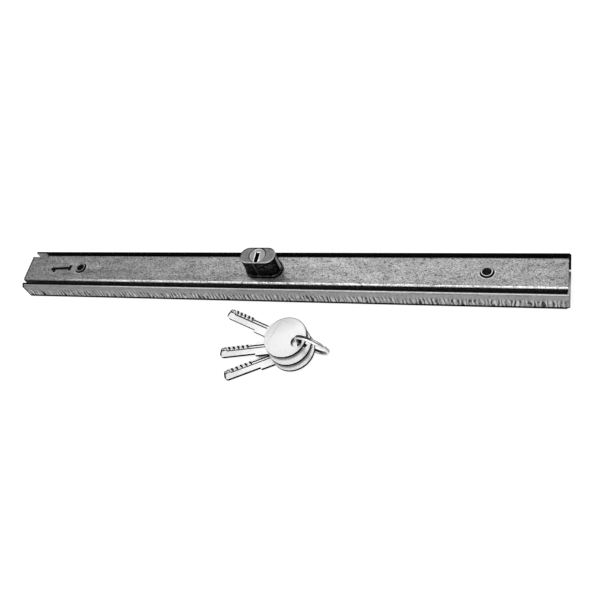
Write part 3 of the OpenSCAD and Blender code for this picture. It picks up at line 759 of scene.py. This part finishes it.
# Both sleeves: a grey rim, lighter on the right one, and in front a painted highlight line at
# the bore and painted shade making the outside black; painted shade makes the bore black all round
def sleeveTone(tree, grain):
    settings = sleeveFinish
    x, y, z = places(tree)
    left = (sleeveLow + sleeveHigh) / 2
    right = Vector((-left.x, left.y, left.z))
    ways = [distanceFrom(tree, x, y, centre) for centre in (left, right)]
    sides = [frontSide(tree, x, y, centre, way) for centre, way in zip((left, right), ways)]
    away = calculate(tree, "MINIMUM", *ways)
    onLeft = ramp(tree, x, 1, 0, *inMetres(*settings["halves"]), smooth=False)
    facing = calculate(tree, "MULTIPLY_ADD", onLeft, sides[0],
                       product(tree, outside(tree, onLeft), sides[1]))
    front = ramp(tree, facing, 0, 1, *frontRange)
    rim = product(tree, ramp(tree, grain, *settings["spread"], *grainRange),
                  ramp(tree, x, *settings["rim"], left.x, right.x))
    # Painted highlight at the bore's front
    reach, soft, factor = settings["crescent"]
    crescent = product(tree, front, below(tree, away, *inMetres(reach, soft)))
    rim = scaled(tree, rim, crescent, factor)
    # Painted shade: the front wall, the outside and the bore black
    depth, soft = inMetres(*settings["wall"])
    wall = product(tree, front, below(tree, z, sleeveHigh.z - depth, soft))
    bore = below(tree, away, *inMetres(*settings["bore"]))
    outer = product(tree, front, ramp(tree, away, 0, 1, *inMetres(*settings["outer"])))
    dark = calculate(tree, "MAXIMUM", outer, calculate(tree, "MAXIMUM", wall, bore))
    return calculate(tree, "ADD", scaled(tree, rim, dark, 0.0), settings["side"])


# Places on a key are given along it and across it from its ring hole
keyFinish = {
    "face": 0.50,
    "wall": 0.014,
    "bevel": (0.12, 0.45),
    "bevelReach": (-5, 2),
    "cut": (0.006, 0.45),
    "dimples": (44.6, 3.8, 5),
    "dimpleRow": 2.6,
    "dimpleSide": (-1.1, 0.1),
    "strokes": (0.75, 0.2, 0.6),
    "roughness": (0.28, 0.42),
    "metallic": 0.7,
    "brush": (24, 5, 400),
    "brushTone": (0.95, 1.04),
    "cloud": 45,
    "cloudTone": (0.90, 1.04, 0.35, 0.65),
    "relief": 0.01 * mm,
    "reliefStrength": 0.25,
    "blade": (26, 28, 1.2),
    "grooveShadeLines": ((-2.85, -1.9, 28.5, 43.4), (-0.9, 0.15, 28.5, 61.3), (-1.6, -0.7, 61.1, 66.5)),
    "tipRingShade": (63.5, -2.15, 0.9, 1.5, 0.15),
    "lineShadeFactor": 0.03,
    "tip": (65.8, 0.3, 0.04),
    "headMiddle": 10.6,
    "headReach": (17, 1),
    "headShade": (2, 24, 0.75),
    "headRimShade": (16.3, 17.1, 0.3, 0.5),
    "headRimShadeReach": (-10, -4),
}


def keyMetal(name, tone, sheen=True):
    settings = keyFinish
    material, tree, shader = newMaterial(name)
    if not sheen:
        dullEdges(shader, 0.0)
    turn, stretch, scale = settings["brush"]
    points = objectPoints(tree, turn=(0, 0, turn), stretch=(1, stretch, 1))
    grain = noise(tree, points, scale, detail=4)
    cloud = noise(tree, objectPoints(tree), settings["cloud"])
    factor = product(tree, ramp(tree, grain, *settings["brushTone"], *grainRange),
                     ramp(tree, cloud, *settings["cloudTone"]))
    colour = greyTone(tree, product(tree, factor, tone(tree)))
    finishMetal(tree, shader, colour, grain, settings, settings["relief"], settings["reliefStrength"])
    return material


def keyPlaces(tree, hole, along, across):
    for direction in (along, across):
        step = tree.nodes.new("ShaderNodeVectorMath")
        step.operation = "DOT_PRODUCT"
        step.inputs[1].default_value = direction
        tree.links.new(objectPoints(tree), step.inputs[0])
        yield calculate(tree, "SUBTRACT", step.outputs["Value"], hole.dot(direction))


# The flat faces: painted shade lines in the groove, a painted shade ring and a painted dark end
# at the tip, and a head with painted shade on one side, with a darker painted rim there
def keyFaceTone(tree, *directions):
    settings = keyFinish
    u, v = keyPlaces(tree, *directions)
    start, end, factor = settings["blade"]
    tone = ramp(tree, u, settings["face"], settings["face"] * factor, *inMetres(start, end))
    # Painted shade lines along the groove's edges
    for low, high, start, end in settings["grooveShadeLines"]:
        line = product(tree, band(tree, v, *inMetres(low, high)), band(tree, u, *inMetres(start, end)))
        tone = scaled(tree, tone, line, settings["lineShadeFactor"])
    # Painted shade ring round the tip dimple
    ringU, ringV, inner, outer, factor = settings["tipRingShade"]
    fromRing = distanceFrom(tree, u, v, inMetres(ringU, ringV))
    tone = scaled(tree, tone, band(tree, fromRing, *inMetres(inner, outer)), factor)
    # Painted shade at the tip's end
    place, soft, factor = settings["tip"]
    tone = scaled(tree, tone, above(tree, u, *inMetres(place, soft)), factor)
    middle = settings["headMiddle"] * mm
    away = distanceFrom(tree, u, v, (middle, 0))
    # Painted shade on one side of the head
    start, end, factor = settings["headShade"]
    corner = calculate(tree, "SUBTRACT", calculate(tree, "SUBTRACT", u, middle), v)
    shade = product(tree, ramp(tree, corner, 0, 1, *inMetres(start, end)),
                    below(tree, away, *inMetres(*settings["headReach"])))
    tone = scaled(tree, tone, shade, factor)
    # Painted shade on the head's rim
    inner, outer, soft, factor = settings["headRimShade"]
    rim = product(tree, band(tree, away, *inMetres(inner, outer, soft)),
                  ramp(tree, v, 1, 0, *inMetres(*settings["headRimShadeReach"])))
    return scaled(tree, tone, rim, factor)


# The cuts: painted shade makes them black, and painted light shows beside the dark slanting
# strokes of the dimples
def keyCutTone(tree, *directions):
    settings = keyFinish
    u, v = keyPlaces(tree, *directions)
    first, pitch, count = settings["dimples"]
    half, soft, slope = settings["strokes"]
    start = (first - settings["dimpleRow"] * slope) * mm
    turns = calculate(tree, "MULTIPLY_ADD", v, slope, calculate(tree, "SUBTRACT", u, start))
    turns = calculate(tree, "FRACT", calculate(tree, "MULTIPLY_ADD", turns, 1 / (pitch * mm), 0.5))
    away = calculate(tree, "ABSOLUTE", calculate(tree, "SUBTRACT", turns, 0.5))
    row = band(tree, u, *inMetres(first - pitch / 2, first + (count - 0.5) * pitch))
    row = product(tree, row, below(tree, v, *inMetres(*settings["dimpleSide"])))
    between = product(tree, row, ramp(tree, away, 0, 1, half / pitch, (half + soft) / pitch))
    # Painted shade in the cuts, with painted light between the strokes
    dark, light = settings["cut"]
    return calculate(tree, "MULTIPLY_ADD", between, light, dark)


# Painted dark reflection on the rounded edges, lighter towards one side
def keyBevelTone(tree, *directions):
    across = list(keyPlaces(tree, *directions))[1]
    return ramp(tree, across, *keyFinish["bevel"], *inMetres(*keyFinish["bevelReach"]))


ringShape = {
    "radius": 13.2 * mm,
    "wire": 0.83 * mm,
    "offset": 0.84 * mm,
    "heading": -17,
    "lean": 9,
    "start": 25,
    "turn": 715,
    "jog": 50,
    "points": 180,
    "sides": 5,
    "smooth": 60,
}


ringFinish = {
    "front": 0.70,
    "rear": (0.03, 0.35),
    "rearReach": (0.55, 0.75),
    "fade": (0.0, 0.3),
    "spread": (0.92, 1.05),
}


# How the ring's own axes lie
def ringTurn(size):
    heading, lean = math.radians(ringShape["heading"]), math.radians(90 + ringShape["lean"])
    return Matrix.Rotation(heading, size, "Z") @ Matrix.Rotation(lean, size, "X")


# The split ring: bright front coil, and painted shade on the rear coil
def ringTone(tree, grain):
    settings = ringFinish
    low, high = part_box("key_ring")
    centre = (low + high) / 2
    along = 0.0
    for place, middle, part in zip(places(tree), centre, ringTurn(3) @ Vector((0, 0, 1))):
        along = calculate(tree, "MULTIPLY_ADD", calculate(tree, "SUBTRACT", place, middle), part, along)
    # Painted shade on the rear coil, darkest towards the left
    reach = (low.x + share * (high.x - low.x) for share in settings["rearReach"])
    rear = ramp(tree, places(tree)[0], *settings["rear"], *reach)
    front = ramp(tree, along, 0, 1, *inMetres(*settings["fade"]))
    tone = product(tree, rear, outside(tree, front))
    tone = calculate(tree, "MULTIPLY_ADD", front, settings["front"], tone)
    return product(tree, tone, ramp(tree, grain, *settings["spread"], *grainRange))


shapedMetals = {
    "cylinderMetal": {"tone": cylinderTone, "grain": 520, "roughness": (0.34, 0.5), "metallic": 0.6,
                      "dull": 0.08},
    "chamberMetal": {"tone": chamberTone, "grain": 900, "roughness": (0.30, 0.42), "metallic": 0.8},
    "collarMetal": {"tone": collarTone, "grain": 520, "roughness": (0.34, 0.5), "metallic": 0.6,
                    "dull": 0.08},
    "plugMetal": {"tone": plugTone, "grain": 1200, "roughness": (0.3, 0.42), "metallic": 0.8},
    "sleeveMetal": {"tone": sleeveTone, "grain": 900, "roughness": (0.3, 0.42), "metallic": 0.8,
                    "specular": 0.1},
    "ringMetal": {"tone": ringTone, "grain": 900, "roughness": (0.18, 0.28), "metallic": 0.9},
}
shapedRelief = 0.03 * mm


# A grey metal whose tone is worked out by its own function
def shapedMetal(name):
    settings = shapedMetals[name]
    material, tree, shader = newMaterial(name)
    if "dull" in settings:
        dullEdges(shader, settings["dull"])
    if "specular" in settings:
        shader.inputs["Specular IOR Level"].default_value = settings["specular"]
    grain = noise(tree, objectPoints(tree), settings["grain"], detail=3, roughness=0.6)
    colour = greyTone(tree, settings["tone"](tree, grain))
    finishMetal(tree, shader, colour, grain, settings, shapedRelief, reach=grainRange)
    return material


metals = {name: plainMetal(name) for name in plainMetals}
metals["stripZinc"] = zincSheet("stripZinc", stripFinish, stripTone)
metals["channelZinc"] = zincSheet("channelZinc", channelFinish, channelTone)
metals.update({name: shapedMetal(name) for name in shapedMetals})
# Painted dark reflection and shade on the keys' walls
metals["keyWall"] = keyMetal("keyWall", lambda tree: keyFinish["wall"], sheen=False)
print("materials made:", len(metals))

nodeMetals = {
    "bolt": "zincPlate",
    "bolt_guide_front": "channelZinc",
    "bolt_guide_rear": "channelZinc",
    "pinion_pivot": "zincPlate",
    "pinion": "zincPlate",
    "cylinder_strap": "channelZinc",
    "strap_screws": "zincPlate",
    "chamber_strip_right": "chamberMetal",
    "chamber_strip_left": "chamberMetal",
    "driver_pins_right": "zincPlate",
    "driver_pins_left": "zincPlate",
    "pin_springs_right": "springWire",
    "pin_springs_left": "springWire",
    "plug": "plugMetal",
    "plug_circlip": "springWire",
    "key_pins_right": "turnedBrass",
    "key_pins_left": "turnedBrass",
    "cylinder_body": "cylinderMetal",
    "cylinder_collar": "collarMetal",
}
for nodeName, metalName in nodeMetals.items():
    node = nodes[nodeName]
    node.data.materials.clear()
    node.data.materials.append(metals[metalName])
print("CAD nodes dressed:", len(nodeMetals))


def finishPiece(piece, body, nodeName):
    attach(piece, body)
    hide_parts(nodeName)


# Channel: its sheet edges slightly rounded

sheetEdge = 0.18 * mm


def makeChannel():
    piece = copyOfNode("housing_channel", "channel")
    softenEdges(piece, sheetEdge)
    piece.data.materials.append(metals["channelZinc"])
    finishPiece(piece, "housing", "housing_channel")


makeChannel()
print("channel made")

# Cover strip with the stamped arrow

arrowShape = {
    "strokes": (((-198.3, -1.3), (-180.8, -0.3)),
                ((-198.3, -1.3), (-195.5, -3.6)),
                ((-180.5, 1.3), (-180.8, -2.0))),
    "width": 2.6 * mm,
    "depth": 0.35 * mm,
    "segments": 16,
}


# One stroke of a stamp: a bar with round ends
def addStroke(start, end):
    settings = arrowShape
    height = 4 * settings["depth"]
    middleHeight = stripHigh.z - settings["depth"] + height / 2
    a, b = Vector((*start, 0)) * mm, Vector((*end, 0)) * mm
    parts = []
    for place in (a, b):
        bpy.ops.mesh.primitive_cylinder_add(vertices=settings["segments"], radius=settings["width"] / 2,
                                            depth=height, location=(place.x, place.y, middleHeight))
        parts.append(bpy.context.object)
    middle = (a + b) / 2
    bpy.ops.mesh.primitive_cube_add(size=1, location=(middle.x, middle.y, middleHeight),
                                    rotation=(0, 0, math.atan2(b.y - a.y, b.x - a.x)))
    bar = bpy.context.object
    bar.scale = ((b - a).length, settings["width"], height)
    parts.append(bar)
    for part in parts:
        applyPlace(part)
    return parts


def makeStrip():
    piece = copyOfNode("cover_strip", "coverStrip")
    piece.data.materials.append(metals["stripZinc"])
    softenEdges(piece, sheetEdge)
    for start, end in arrowShape["strokes"]:
        for cutter in addStroke(start, end):
            # The stamp's recess takes the black painted-shade metal
            cutter.data.materials.append(metals["stampedRecessShade"])
            applyModifier(piece, "BOOLEAN", object=cutter, operation="DIFFERENCE", solver="EXACT",
                          material_mode="TRANSFER")
            bpy.data.objects.remove(cutter)
    finishPiece(piece, "housing", "cover_strip")


makeStrip()
print("cover strip made")

# Fixing sleeves: their rolled rims drawn in a little

sleeveShape = {"rim": 4.6 * mm, "overCover": -0.01 * mm, "edge": 0.1 * mm}


def makeSleeve(side):
    nodeName = "fixing_sleeve_" + side
    piece = copyOfNode(nodeName, "sleeve" + side.title())
    low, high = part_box(nodeName)
    centre = (low + high) / 2
    rim = sleeveShape["rim"]
    share = rim / (high.x - centre.x)
    for vertex in piece.data.vertices:
        out = (vertex.co - centre).to_2d()
        if out.length > rim and vertex.co.z > stripHigh.z + sleeveShape["overCover"]:
            vertex.co.x, vertex.co.y = centre.to_2d() + out * share
    softenEdges(piece, sleeveShape["edge"])
    piece.data.materials.append(metals["sleeveMetal"])
    finishPiece(piece, "housing", nodeName)


for side in ("left", "right"):
    makeSleeve(side)
print("sleeves made")

# Keys: softened copies with bright faces, walls with painted dark reflection and shade, and
# painted shade making the dimples and grooves black

keyShape = {
    "edge": 0.14 * mm,
    "flat": 0.97,
    "steep": 0.3,
    "farShare": 0.985,
    "bladeStart": 27.7 * mm,
    "dimpleDepth": 0.35 * mm,
    "tipDimple": 62 * mm,
    "bladeHalf": 3.85 * mm,
    "panel": (0.0065, 0.0225, 0.0003),
    "panelPlace": 18.2 * mm,
    "panelDepth": 0.12 * mm,
}
faceSlot, wallSlot, bevelSlot, cutSlot = range(4)


# The key's own directions: along the blade, across it and up
def keyFrame(piece, joint):
    hole = Vector(joint["pos_m"])
    up = Vector(joint["axis"]).normalized()
    corners = [vertex.co - hole for vertex in piece.data.vertices]
    reach = max(corner.length for corner in corners)
    far = [corner for corner in corners if corner.length > keyShape["farShare"] * reach]
    along = sum(far, Vector()) / len(far)
    along = (along - up * along.dot(up)).normalized()
    return hole, along, up.cross(along), up


def topOfKey(piece, hole, up):
    return max((vertex.co - hole).dot(up) for vertex in piece.data.vertices)


# A plain sunk panel on the head's upper face
def cutPanel(piece, hole, along, across, up):
    bpy.ops.mesh.primitive_cube_add(size=1)
    cutter = bpy.context.object
    width, length, height = keyShape["panel"]
    rise = topOfKey(piece, hole, up) - keyShape["panelDepth"] + height / 2
    place = hole + along * keyShape["panelPlace"] + up * rise
    turn = Matrix((along, across, up)).transposed().to_4x4()
    cutter.matrix_world = Matrix.Translation(place) @ turn @ Matrix.Diagonal((width, length, height, 1))
    applyPlace(cutter)
    applyModifier(piece, "BOOLEAN", object=cutter, operation="DIFFERENCE", solver="EXACT")
    bpy.data.objects.remove(cutter)


# Which of the key's metals a face gets
def slotOfFace(normal, place, along, across, up, top):
    lean = abs(normal.dot(up))
    onBlade = place.dot(along) > keyShape["bladeStart"] and abs(place.dot(across)) < keyShape["bladeHalf"]
    sunk = normal.dot(up) > 0 and top - place.dot(up) > keyShape["dimpleDepth"]
    if lean > keyShape["flat"]:
        return cutSlot if sunk and place.dot(along) < keyShape["tipDimple"] else faceSlot
    if onBlade:
        return cutSlot
    return wallSlot if lean < keyShape["steep"] else bevelSlot


def makeKey(number):
    nodeName = "key_%d" % number
    piece = copyOfNode(nodeName, "key%d" % number)
    joint = next(j for j in frame["joints"] if j["child"] == nodeName)
    hole, along, across, up = keyFrame(piece, joint)
    cutPanel(piece, hole, along, across, up)
    piece.data.materials.clear()
    directions = (hole, along, across)
    faceMetal = keyMetal("keyFace%d" % number, lambda tree: keyFaceTone(tree, *directions))
    bevelMetal = keyMetal("keyBevel%d" % number, lambda tree: keyBevelTone(tree, *directions))
    cutMetal = keyMetal("keyCut%d" % number, lambda tree: keyCutTone(tree, *directions), sheen=False)
    for metal in (faceMetal, metals["keyWall"], bevelMetal, cutMetal):
        piece.data.materials.append(metal)
    top = topOfKey(piece, hole, up)
    for face in piece.data.polygons:
        face.material_index = slotOfFace(face.normal, face.center - hole, along, across, up, top)
    softenEdges(piece, keyShape["edge"])
    finishPiece(piece, nodeName, nodeName)


for number in (1, 2, 3):
    makeKey(number)
print("keys made")

# Split ring: one wire of two turns


def makeRing():
    settings = ringShape
    low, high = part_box("key_ring")
    data = bpy.data.curves.new("splitRing", "CURVE")
    data.dimensions = "3D"
    data.bevel_depth = settings["wire"]
    data.bevel_resolution = settings["sides"]
    data.use_fill_caps = True
    line = data.splines.new("POLY")
    line.points.add(settings["points"] - 1)
    place = Matrix.Translation((low + high) / 2) @ ringTurn(4)
    jogStart = (settings["turn"] - settings["jog"]) / 2
    radius = settings["radius"]
    for i, point in enumerate(line.points):
        along = settings["turn"] * i / (settings["points"] - 1)
        share = min(max((along - jogStart) / settings["jog"], 0), 1)
        share = share * share * (3 - 2 * share)
        angle = math.radians(settings["start"] + along)
        side = settings["offset"] * (1 - 2 * share)
        point.co = (*(place @ Vector((radius * math.cos(angle), radius * math.sin(angle), side))), 1)
    curve = bpy.data.objects.new("splitRing", data)
    bpy.context.scene.collection.objects.link(curve)
    makeActive(curve)
    bpy.ops.object.convert(target="MESH")
    piece = bpy.context.object
    smoothPiece(piece, settings["smooth"])
    piece.data.materials.append(metals["ringMetal"])
    finishPiece(piece, "ring", "key_ring")


makeRing()
print("split ring made")

# Floor, world and lamps

stageSettings = {
    "floorSize": 8,
    "floorDrop": 0.05 * mm,
    "floorTone": 0.30,
    "floorRoughness": 0.9,
    "glow": 0.80,
    "worldStrength": 0.45,
}


# 1 where the camera sees a surface itself, in a mirror or through glass
def seenByCamera(tree):
    light = tree.nodes.new("ShaderNodeLightPath")
    seen = calculate(tree, "MAXIMUM", light.outputs["Is Camera Ray"], light.outputs["Is Glossy Ray"])
    return calculate(tree, "MAXIMUM", seen, light.outputs["Is Transmission Ray"])


# The floor shows white and still takes the object's shadow
def addFloor():
    settings = stageSettings
    bpy.ops.mesh.primitive_plane_add(size=settings["floorSize"], location=(0, 0, -settings["floorDrop"]))
    floor = bpy.context.object
    floor.name = "floor"
    material, tree, shader = newMaterial("whiteFloor")
    shader.inputs["Base Color"].default_value = (settings["floorTone"],) * 3 + (1,)
    shader.inputs["Roughness"].default_value = settings["floorRoughness"]
    shader.inputs["Specular IOR Level"].default_value = 0.0
    glow = tree.nodes.new("ShaderNodeEmission")
    strength = calculate(tree, "MULTIPLY", seenByCamera(tree), settings["glow"])
    tree.links.new(strength, glow.inputs["Strength"])
    both = tree.nodes.new("ShaderNodeAddShader")
    out = next(n for n in tree.nodes if n.type == "OUTPUT_MATERIAL")
    tree.links.new(shader.outputs[0], both.inputs[0])
    tree.links.new(glow.outputs[0], both.inputs[1])
    tree.links.new(both.outputs[0], out.inputs[0])
    floor.data.materials.append(material)


def setWorld():
    world = bpy.data.worlds.new("studio")
    bpy.context.scene.world = world
    world.use_nodes = True
    tree = world.node_tree
    tree.nodes.clear()
    out = tree.nodes.new("ShaderNodeOutputWorld")
    background = tree.nodes.new("ShaderNodeBackground")
    strength = ramp(tree, seenByCamera(tree), stageSettings["worldStrength"], 1.0, smooth=False)
    tree.links.new(strength, background.inputs["Strength"])
    background.inputs["Color"].default_value = (1, 1, 1, 1)
    tree.links.new(background.outputs[0], out.inputs[0])


lampSettings = {
    "backSoft": {"place": (-0.03, 0.42, 0.62), "size": (0.70, 0.45), "power": 2.2},
    "topLine": {"place": (-0.05, -0.25, 0.95), "size": (1.2, 0.30), "power": 5.0},
    "frontFill": {"place": (0.3, -1.1, 0.7), "size": (1.0, 0.6), "power": 4.0},
}


def addLamps():
    for name, settings in lampSettings.items():
        data = bpy.data.lights.new(name, "AREA")
        data.shape = "RECTANGLE"
        data.size, data.size_y = settings["size"]
        data.energy = settings["power"]
        lamp = bpy.data.objects.new(name, data)
        bpy.context.scene.collection.objects.link(lamp)
        lamp.location = settings["place"]
        lamp.rotation_euler = (-Vector(settings["place"])).to_track_quat("-Z", "Y").to_euler()


addFloor()
setWorld()
addLamps()
bpy.context.scene.view_settings.view_transform = "Standard"
print("stage, world and lamps ready")
